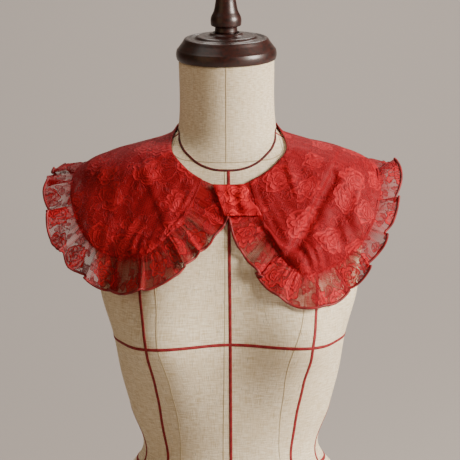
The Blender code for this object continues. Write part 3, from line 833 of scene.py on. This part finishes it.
    # net, with closer bands of warp threads
    cells = {"Vector": place, "Scale": ROSE_REPEAT / NET_HOLE, "Randomness": 0.25}
    net = add("TexVoronoi", inputs=cells, **outlines)
    net_line = add("MapRange", net, 0.05, 0.28, net_cover + 0.16, net_cover - 0.08)
    scale = 2 * math.pi * ROSE_REPEAT / WAVE_TURN / THREAD_REPEAT
    waves = {"Vector": place, "Scale": scale, "Distortion": 1.5, "Detail": 1.0}
    threads = add("TexWave", inputs=waves, bands_direction="X")
    thread_line = add("MapRange", threads, 0.7, 1.0, 0.0, 0.16)
    ground = add("Math ADD", net_line, thread_line)
    rim = add("Math MULTIPLY_ADD", petal_light, 0.2, packed)
    body = add("Mix", worked, inputs={2: ground, 3: rim})
    cover = add("Mix", cords, inputs={2: body, 3: 0.96})
    # Denser alpha at the sewn edge and the front end: real gathers, and painted shade under the
    # panel and the tab.
    if gathered_and_shaded:
        deep = gathered_and_shaded * MM
        x, y, _ = add("SeparateXYZ", cut).outputs
        close_and_shaded = add("MapRange", y, -deep, -1.5 * MM, 0.0, 0.75)
        from_end = add("Math SUBTRACT", add("Math ABSOLUTE", x), CUT_APART * MM)
        from_end = add("Math ABSOLUTE", from_end)
        folded_and_shaded = add("MapRange", from_end, 2.0 * deep, 5.0 * deep, 0.8, 0.0)
        close_and_shaded = add("Math MAXIMUM", close_and_shaded, folded_and_shaded)
        cover = add("Mix", close_and_shaded, inputs={2: cover, 3: 1.0})
    # dye and relief
    rim_light = add("Math MULTIPLY", petal_light, 0.75)
    lit = add("Math MULTIPLY_ADD", hatch, 0.3, rim_light)
    worn = add("MapRange", stitches, 0.25, 0.6, 0.45, 1.0)
    lit = add("Math MULTIPLY", lit, worn)
    cord_dye, petal, shade, net_dye = map(linear, (cord_hex, petal_hex, shade_hex, net_hex))
    petals = add("Mix", lit, inputs={6: shade, 7: petal}, data_type="RGBA")
    ground = add("Mix", worked, inputs={6: net_dye, 7: petals}, data_type="RGBA")
    dyed = add("Mix", cords, inputs={6: ground, 7: cord_dye}, data_type="RGBA")
    raised = add("Math MULTIPLY_ADD", stitches, 0.6, cords)
    relief = add("Math ADD", cover, raised)
    bump = add("Bump", inputs={"Height": relief, "Strength": 0.7, "Distance": 0.0006})
    fill(shader, {"Base Color": dyed, "Alpha": cover, "Normal": bump, "Specular IOR Level": 0.12})
    return material


panel_lace = rose_lace(
    "red polyester lace, panel", "#961620", "#C62630", "#7C1018", "#88131C", 0.76, 0.92
)

halves = {side: panel_half(side) for side in SIDES.values()}
under = np.concatenate((halves[-1][0], halves[1][0][-2::-1]))
lift = np.concatenate((halves[-1][1], halves[1][1][-2::-1]))
LAYER_GAP = 0.75
EDGE_ROLL = 0.9
END_PINCH = 0.4
# where the under layer's cut lies from the upper's, so that the two patterns differ
UNDER_SHIFT = np.array([417.0, 263.0])


def turned_out(middle, normals, cut):
    """Two layers of cloth, sewn and turned out at their edges: rings of points round the doubled
    cloth from one end to the other, their places on the cut, and the faces."""
    gap = np.full((len(middle), 1, 1), LAYER_GAP)
    gap[[0, -1]] *= END_PINCH
    outer_rim = middle[:, -1:] + unit(middle[:, -1:] - middle[:, -3:-2]) * EDGE_ROLL
    inner_rim = middle[:, :1] + unit(middle[:, :1] - middle[:, 2:3]) * EDGE_ROLL
    low = middle - normals * gap
    high = middle + normals * gap
    rings = np.concatenate((inner_rim, low, outer_rim, high[:, ::-1]), axis=1)
    low_cut = cut + UNDER_SHIFT
    places = np.concatenate((low_cut[:, :1], low_cut, cut[:, -1:], cut[:, ::-1]), axis=1)
    length, around = rings.shape[:2]
    faces = grid_faces(around, length, around=True)
    for end in (0, length - 1):
        for rung in range(around // 2):
            corners = [rung, rung + 1, around - rung - 1, (around - rung) % around]
            corners = list(dict.fromkeys(corners))[:: 1 if end else -1]
            if len(corners) > 2:
                faces.append([corner * length + end for corner in corners])
    return rings.swapaxes(0, 1), places.swapaxes(0, 1), faces


flat = flat_cut(under)

# Polyester lace, four layers pressed together in a turned seam: dense dark red with the pattern
# just showing through.
seam_lace = rose_lace(
    "red polyester lace, seam", "#861019", "#860E18", "#6C0810", "#6A0810", 0.86, 0.95
)
ALLOWANCE_ROWS = 4
laid = under + lift * PANEL_WALL / 2
for name, band in (("outer", slice(-ALLOWANCE_ROWS, None)), ("neck", slice(None, ALLOWANCE_ROWS))):
    middle = laid[:, band]
    faces = grid_faces(*middle.shape[:2])
    add_piece(f"seam_allowance_{name}", middle, faces, seam_lace, flat[:, band])

shell, shell_cut, faces = turned_out(laid, lift, flat)
panel = add_piece("lace_panel", shell, faces, panel_lace, shell_cut)
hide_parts("collar_panel")

# Ruffles
# One gathered strip of the same lace on each side, a single layer. It is sewn in under the
# panel's edge, from the front neck corner to the centre back, and flutes out to a rolled hem.
RUFFLE_WALL = 1.0
RUFFLE_RAISE = 0.5
SEAM_GAP = 0.7
BACK_GAP = 0.5
RUFFLE_COLUMNS = ("along", "width", "flare")
# along the seam from the front end, in mm
RUFFLE_LEFT = (
    (0, 33, 0), (22, 44, 0), (48, 42, 0), (90, 43, 0), (130, 43, 0), (175, 38, 0), (210, 38, 2),
    (245, 34, 8), (280, 34, 14), (320, 34, 14), (370, 38, 6), (430, 43, 0), (640, 44, 0),
)
RUFFLE_RIGHT = (
    (0, 21, 0), (20, 30, 0), (45, 35, 0), (90, 38, 0), (150, 39, 0), (190, 35, 0), (225, 24, 6),
    (260, 22, 20), (290, 25, 30), (325, 29, 26), (370, 35, 8), (430, 41, 0), (640, 44, 0),
)
# gathers from the front end, each with its share of the seam and its depth at the hem
FOLD_COLUMNS = ("share", "depth")
FOLDS_LEFT = (
    (16, 1.0), (17, 1.5), (18, 4.0), (14, 5.0), (26, 8.5), (44, 9.0), (20, 8.0), (29, 10.5),
    (26, 9.0), (44, 11.0), (22, 9.0), (14, 7.0), (36, 10.0),
)
FOLDS_RIGHT = (
    (16, 1.0), (17, 1.5), (18, 2.5), (24, 4.5), (31, 6.5), (22, 6.5), (28, 9.0), (30, 9.0),
    (36, 11.0), (26, 9.0), (44, 11.0), (44, 11.0), (23, 9.0), (26, 9.5),
)
BACK_FOLD_SHARE = {"middle": 26.0, "swing": 4.0, "turn": 2.4}
BACK_FOLD_DEPTH = {"middle": 8.5, "swing": 1.8, "turn": 1.7}
SEAM_GATHER = 0.16
FLUTE_EASE = 0.9
RUFFLE_DROOP = 6.0
SEAM_BLEND = 12.0
FOLD_STEPS = 28
RUFFLE_ROWS = 22
TUCK_IN = 4.0
# Laps: how far each fold leans over the next, which grows with its depth, and how far its crest
# stands forward. On the left a few crests stand back instead; on the right none do.
LAP = 1.8
LAP_SWING = 0.4
LAP_TURN = 1.7
LAP_DEPTHS = (2.0, 8.0)
LAP_SHIFT = 0.2
LAP_AT_SEAM = 0.35
LAP_EASE = 0.6
SENSE_TURN = 2.3
SENSE_FROM = {-1: -0.2, 1: -1.0}
# Lobes: how much narrower a deep fold is at its middle, before and after a stretch of the seam
LOBE = (0.04, 0.16)
LOBE_ALONG = (130.0, 205.0)
LOBE_DEEP = 8.0
# Small gathers at the seam, along it and with their depth
SMALL_GATHER = 1.0
GATHER_REPEAT = 5.3
GATHER_WANDER = (2.0, 17.0)
GATHER_FINE = (0.5, 2.1)
GATHER_FULL = 110.0
GATHER_LEAST = 0.1
GATHER_GROWTH = (6.0, 0.15)

# Polyester lace, the same in one layer: open, so that the linen shows through its net, and close
# where it is gathered, which is partly real and partly painted shade under the panel and the tab.
ruffle_lace = rose_lace(
    "red polyester lace, ruffle",
    "#7C0E18", "#C8242E", "#98121E", "#8E101A", 0.5, 0.84, gathered_and_shaded=18.0,
)


def swinging(size, count):
    """A size that swings round its middle from one fold to the next."""
    return size["middle"] + size["swing"] * math.sin(size["turn"] * count)


def fold_edges(folds, length):
    """Where each gather starts along the seam, and its depth at the hem."""
    edges = [0.0]
    depths = []
    for row in folds:
        fold = dict(zip(FOLD_COLUMNS, row))
        edges.append(edges[-1] + fold["share"])
        depths.append(fold["depth"])
    while edges[-1] + BACK_FOLD_SHARE["middle"] < length:
        edges.append(edges[-1] + swinging(BACK_FOLD_SHARE, len(depths)))
        depths.append(swinging(BACK_FOLD_DEPTH, len(depths)))
    return np.array(edges) * length / edges[-1], np.array(depths)


def ruffle_half(grid, side):
    """The ruffle on one side of the centre line, hung from a panel half's under face: a line of
    points from its seam allowance to its hem for each place along it."""
    points = np.concatenate((grid[0, :-1], grid[:, -1]))
    leave = np.concatenate((grid[0, :-1] - grid[FINER, :-1], grid[:, -1] - grid[:, -1 - FINER]))
    leave = unit(leave)
    tangents = unit(np.gradient(points, axis=0))
    leave = unit(leave - tangents * (leave * tangents).sum(-1, keepdims=True))
    along = arc_lengths(points)
    length = along[-1] - BACK_GAP / 2
    edges, depths = fold_edges(FOLDS_RIGHT if side > 0 else FOLDS_LEFT, length)
    table = filled(RUFFLE_RIGHT if side > 0 else RUFFLE_LEFT, RUFFLE_COLUMNS)
    turns = np.arange(len(depths) * FOLD_STEPS + 1) / FOLD_STEPS
    fold = np.minimum(turns.astype(int), len(depths) - 1)
    phase = turns - fold
    sizes = edges[fold + 1] - edges[fold]
    places = edges[fold] + phase * sizes
    starts = np.stack([np.interp(places, along, points[:, axis]) for axis in range(3)], axis=-1)
    near = np.exp(-(((along[None] - places[:, None]) / SEAM_BLEND) ** 2)) * np.gradient(along)
    directions = unit(near @ leave)
    level = unit(directions * np.array([1.0, 1.0, 0.0]))
    slopes = np.degrees(np.arcsin(-directions[:, 2])) - read(table, "flare", places)
    tilt = np.radians(slopes)[:, None]
    first = clear_of_form(starts + directions * SEAM_GAP, CLOTH_GAP)
    tucked = first - directions * TUCK_IN
    directions = level * np.cos(tilt) + DOWN * np.sin(tilt)
    deep = np.interp(turns, np.arange(len(depths)) + 0.5, depths)
    lobe = np.interp(places, LOBE_ALONG, LOBE) * np.clip(deep / LOBE_DEEP, 0, 1)
    widths = read(table, "width", places) * (1 - lobe * np.sin(math.pi * phase) ** 2)
    base = lay_cloth(first, directions, widths, slopes + RUFFLE_DROOP, RUFFLE_ROWS)
    base = np.concatenate((tucked[:, None], base), axis=1)
    reach = np.concatenate(([0.0], np.linspace(0, 1, RUFFLE_ROWS + 1)))
    normals = grid_normals(base)
    hang = SEAM_GATHER + (1 - SEAM_GATHER) * reach**FLUTE_EASE
    sense = np.where(np.sin(fold * SENSE_TURN + side) > SENSE_FROM[side], 1.0, -1.0)
    flute = deep * (1 + np.cos(2 * math.pi * (phase - 0.5 + LAP_SHIFT * sense))) / 2
    lap = LAP + LAP_SWING * np.sin(fold * LAP_TURN + 2 * side)
    lap = lap * np.interp(deep, LAP_DEPTHS, (0, 1))
    over = lap * sizes / (2 * math.pi) * np.sin(2 * math.pi * phase)
    lapped = LAP_AT_SEAM + (1 - LAP_AT_SEAM) * reach**LAP_EASE
    wander = GATHER_WANDER[0] * np.sin(places / GATHER_WANDER[1])
    gather = np.sin(2 * math.pi * places / GATHER_REPEAT + wander)
    gather += GATHER_FINE[0] * np.sin(places * GATHER_FINE[1])
    gather *= SMALL_GATHER * np.clip(places / GATHER_FULL, GATHER_LEAST, 1)
    grown = np.minimum(reach * GATHER_GROWTH[0] + GATHER_GROWTH[1], 1)
    small = gather[:, None] * (1 - reach[None]) ** 2 * grown
    lift = flute[:, None] * hang[None] + RUFFLE_RAISE + small + RUFFLE_WALL / 2
    sideways = unit(np.gradient(base, axis=0))
    made = base + normals * lift[..., None] + sideways * (over[:, None] * lapped[None])[..., None]
    made[..., 0] = side * np.maximum(side * made[..., 0], BACK_GAP / 2)
    made[-1, :, 0] = side * BACK_GAP / 2
    return made


HEM_RADIUS = 1.6
HEM_SIDES = 8

# Polyester sewing thread over lace rolled tight into a narrow hem: dense dark red under slanting
# ridges of slightly lighter red. The stitches are 1.2 mm apart, too fine to show, and are drawn
# as ridges 20 mm apart.
HEM_RIDGE = 20.11
hem_thread, add, shader = new_material("overlocked lace hem", 0.6)
cut = add("UVMap", uv_map="cut")
scale = 2 * math.pi * 1000 / SLANT_TURN / HEM_RIDGE
waves = {"Vector": cut, "Scale": scale, "Distortion": 0.4}
ridges = add("TexWave", inputs=waves, bands_direction="DIAGONAL")
colour = add("Mix", ridges, inputs={6: linear("#6C0A12"), 7: linear("#8E121A")}, data_type="RGBA")
bump = add("Bump", inputs={"Height": ridges, "Strength": 0.5, "Distance": 0.0003})
fill(shader, {"Base Color": colour, "Normal": bump})

for word, side in SIDES.items():
    cloth = ruffle_half(halves[side][0], side)
    hem_along = arc_lengths(cloth[:, -1])
    widths = np.stack([arc_lengths(line) for line in cloth])
    strip_cut = np.stack((hem_along[:, None] + 0 * widths, -widths), axis=-1)
    piece = add_piece(
        f"lace_ruffle_{word}",
        cloth,
        grid_faces(*cloth.shape[:2]),
        ruffle_lace,
        strip_cut + np.array([side * CUT_APART, 0.0]),
    )
    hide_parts(f"ruffle_{word}")
    hem_path = cloth[:, -1]
    outward = unit(cloth[:, -1] - cloth[:, -3])
    turned_up = unit(np.cross(np.gradient(hem_path, axis=0), outward))
    rings = tube(hem_path, outward, turned_up, HEM_RADIUS, HEM_SIDES)
    rounds = np.linspace(0, 2 * math.pi * HEM_RADIUS, HEM_SIDES, endpoint=False)
    hem_cut = np.stack(np.meshgrid(rounds, hem_along, indexing="ij"), axis=-1)
    hem = add_piece(
        f"hem_{word}",
        rings,
        tube_faces(len(hem_path), HEM_SIDES),
        hem_thread,
        hem_cut,
    )

# Front tab
# A short strip of the lace, doubled and turned out, which laps over the two front ends at the
# throat and fastens them. It is pinched across, so that soft folds run down it.
TAB_GAP = 5.5
TAB_WALL = 2.0
TAB_COLUMNS = ("height", "left", "right", "pinch")
TAB_SECTIONS = (
    (476, -4.5, 34.5, 0.2),
    (480, -6, 33, 0.8),
    (485, -8, 30.5, 1.2),
    (492, -10.5, 25.5, 1.4),
    (497, -12, 22.5, 1.2),
    (504, -14.5, 23, 0.9),
    (508, -15.7, 21, 0.5),
    (512, -17, 17.5, 0.3),
)
TAB_WAVES = 1.5
TAB_WAVE_START = 0.6
TAB_CRUMPLE = 1.1
CRUMPLE_WAVES = ((11.0, 0.13), (-6.0, 0.27))
TAB_CUT_SHIFT = 200.0
TAB_ACROSS = 60
TAB_ROWS = 60

# Polyester lace, the same, doubled and folded over: close, with little seen through, and a brighter
# red than the panel's, which is painted light.
lit_tab_lace = rose_lace(
    "red polyester lace, tab, painted light", "#8E0E18", "#E43034", "#B01A24", "#B41C26", 0.9, 0.97
)

table = filled(TAB_SECTIONS, TAB_COLUMNS)
heights = np.linspace(TAB_SECTIONS[-1][0], TAB_SECTIONS[0][0], TAB_ROWS)[None, :]
share = np.linspace(0, 1, TAB_ACROSS)[:, None]
left, right = read(table, "left", heights), read(table, "right", heights)
x = left + share * (right - left)
wave = np.sin(2 * math.pi * TAB_WAVES * share + TAB_WAVE_START)
soft = np.prod([np.sin(over * share + down * heights) for over, down in CRUMPLE_WAVES], axis=0)
lift = TAB_GAP + read(table, "pinch", heights) * (1 + wave) / 2 + TAB_CRUMPLE * soft + TAB_WALL / 2
angle = np.arcsin(x / form_radius(0.0, heights))
skin = on_form(np.degrees(angle), heights)
normals, _ = form_normal(skin)
tab_middle = skin + normals * lift[..., None]
tab_flat = np.stack((x - TAB_CUT_SHIFT, heights + 0 * x), axis=-1)
shell, shell_cut, faces = turned_out(tab_middle, grid_normals(tab_middle), tab_flat)
tab = add_piece("lace_tab", shell, faces, lit_tab_lace, shell_cut)
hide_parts("front_tab")

# Studio
# A plain pale floor that sweeps up into the backdrop, a large soft lamp from the right, weak
# ones from the left and above, one on the backdrop, and a camera at the photograph's angle.
FLOOR_REACH = 24000.0
FLOOR_DROP = 0.5
SWEEP_BACK = 7500.0
SWEEP_RADIUS = 5000.0
SWEEP_STEPS = 24

# Backdrop paper, matt: a pale warm grey with a faint broad mottle.
paper, add, shader = new_material("matt backdrop paper", 0.95)
mottle = add("TexNoise", inputs={"Scale": 1.3, "Detail": 2.0})
colour = add("Mix", mottle, inputs={6: linear("#999390"), 7: linear("#ABA5A0")}, data_type="RGBA")
fill(shader, {"Base Color": colour})

turns = np.linspace(0, math.pi / 2, SWEEP_STEPS)
depths = np.append(-FLOOR_REACH, SWEEP_BACK - SWEEP_RADIUS * (1 - np.sin(turns)))
rises = np.append(0.0, SWEEP_RADIUS * (1 - np.cos(turns))) - FLOOR_DROP
wide = np.array([-FLOOR_REACH, FLOOR_REACH])[:, None]
sweep_points = np.stack(np.broadcast_arrays(wide, depths[None], rises[None]), axis=-1)
mesh = bpy.data.meshes.new("backdrop")
mesh.from_pydata((sweep_points.reshape(-1, 3) * MM).tolist(), [], grid_faces(2, len(depths)))
mesh.shade_smooth()
mesh.materials.append(paper)
new_object("backdrop", mesh)

# Lamps: place, aim and size in metres, power in watts, and colour
LAMPS = {
    "window": ((2.1, -1.0, 1.25), (0, 0, 0.45), 1.0, 150.0, "#FFF4E8"),
    "fill": ((-1.9, -1.7, 0.9), (0, 0, 0.42), 1.8, 7.0, "#FFCFA0"),
    "wash": ((-0.9, -0.2, 2.3), (-0.5, 0.9, 0.8), 1.4, 8.0, "#FFF8F0"),
    "backdrop": ((0.5, 3.0, 4.2), (0.2, 4.6, 0.0), 3.5, 260.0, "#FFF8F0"),
}
for name, (place, aim, size, watts, colour) in LAMPS.items():
    light = bpy.data.lights.new(name, "AREA")
    light.size = size
    light.energy = watts
    light.color = linear(colour)[:3]
    lamp = new_object(name, light)
    lamp.location = place
    lamp.rotation_euler = (Vector(aim) - Vector(place)).to_track_quat("-Z", "Y").to_euler()
world = bpy.data.worlds.new("studio")
world.use_nodes = True
background = world.node_tree.nodes["Background"]
fill(background, {"Color": linear("#DDBE98"), "Strength": 0.14})
bpy.context.scene.world = world

CAMERA_TARGET = Vector((0.002, 0.0, 0.45))
CAMERA_DISTANCE = 2.5
CAMERA_PITCH = math.radians(8.0)
CAMERA_ROLL = math.radians(0.63)
CAMERA_LENS = 163.04
CAMERA_SENSOR = 36.0
lens = bpy.data.cameras.new("camera")
lens.lens = CAMERA_LENS
lens.sensor_width = CAMERA_SENSOR
camera = new_object("camera", lens)
pitched = Matrix.Rotation(math.pi / 2 - CAMERA_PITCH, 4, "X")
rolled = Matrix.Rotation(-CAMERA_ROLL, 4, "Z")
back = Matrix.Translation((0.0, 0.0, CAMERA_DISTANCE))
camera.matrix_world = Matrix.Translation(CAMERA_TARGET) @ pitched @ rolled @ back
bpy.context.scene.camera = camera
